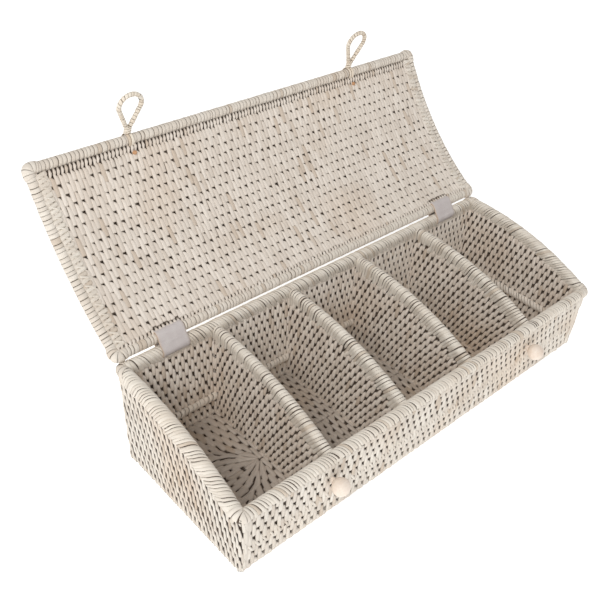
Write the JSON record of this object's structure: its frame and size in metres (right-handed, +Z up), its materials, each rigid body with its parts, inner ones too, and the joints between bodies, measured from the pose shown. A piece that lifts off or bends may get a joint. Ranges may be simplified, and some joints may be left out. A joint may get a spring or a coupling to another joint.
{
  "type": "tea bag organizer box",
  "caption": "Woven rattan tea bag box with open compartments, an arched lid on leather straps, and cane loops that fasten on wooden knobs.",
  "frame": {"origin": "middle of the flat underside of the box", "axes": "+X along the length to the right, -Y out of the low front wall with the knobs, +Z up; shown with the lid open"},
  "size_m": [0.382, 0.2495, 0.2322],
  "materials": {
    "wall_weave": "matte",
    "lid_weave": "matte",
    "floor_weave": "matte",
    "wrapped_rod": "matte",
    "loop_cane": "satin",
    "raw_cane": "matte",
    "knob_wood": "matte",
    "leather": "matte"
  },
  "bodies": {
    "box": {"base_panel": "floor_weave", "front_wall": "wall_weave", "back_wall": "wall_weave", "left_end_wall": "wall_weave", "right_end_wall": "wall_weave", "foot_band_front": "wall_weave", "foot_band_back": "wall_weave", "foot_band_left": "wall_weave", "foot_band_right": "wall_weave", "divider_1": "wall_weave", "divider_2": "wall_weave", "divider_3": "wall_weave", "divider_4": "wall_weave", "base_frame": "wrapped_rod", "corner_post_front_left": "wrapped_rod", "corner_post_front_right": "wrapped_rod", "corner_post_back_left": "wrapped_rod", "corner_post_back_right": "wrapped_rod", "waist_rod_front": "wrapped_rod", "waist_rod_back": "wrapped_rod", "waist_rod_left": "wrapped_rod", "waist_rod_right": "wrapped_rod", "rim_rod_front": "wrapped_rod", "rim_rod_back": "wrapped_rod", "rim_rod_left": "wrapped_rod", "rim_rod_right": "wrapped_rod", "divider_rim_1": "wrapped_rod", "divider_rim_2": "wrapped_rod", "divider_rim_3": "wrapped_rod", "divider_rim_4": "wrapped_rod", "knob_left": "knob_wood", "knob_right": "knob_wood"},
    "straps": {"strap_left": "leather", "strap_right": "leather"},
    "lid": {"lid_panel": "lid_weave", "lid_rim_front": "wrapped_rod", "lid_rim_back": "wrapped_rod", "lid_rim_left": "wrapped_rod", "lid_rim_right": "wrapped_rod", "loop_end_left": "raw_cane", "loop_end_right": "raw_cane"},
    "loop_l": {"loop_left": "loop_cane"},
    "loop_r": {"loop_right": "loop_cane"}
  },
  "joints": [
    {"name": "strap_swing", "type": "hinge", "parent": "box", "child": "straps", "pos_m": [0, 0.0642, 0.0852], "axis": [1, 0, 0], "range_deg": [0, 32.01]},
    {"name": "lid_turn", "type": "hinge", "parent": "straps", "child": "lid", "pos_m": [0, 0.06957, 0.09316], "axis": [1, 0, 0], "range_deg": [0, 113.71]},
    {"name": "loop_left_swing", "type": "hinge", "parent": "lid", "child": "loop_l", "pos_m": [-0.11, 0.16267, 0.193], "axis": [1, 0, 0], "range_deg": [-70, 17.2]},
    {"name": "loop_right_swing", "type": "hinge", "parent": "lid", "child": "loop_r", "pos_m": [0.11, 0.16267, 0.193], "axis": [1, 0, 0], "range_deg": [-70, 17.2]}
  ],
  "couplings": [
    {"joint": "lid_turn", "follows": "strap_swing", "ratio": 3.5525}
  ]
}
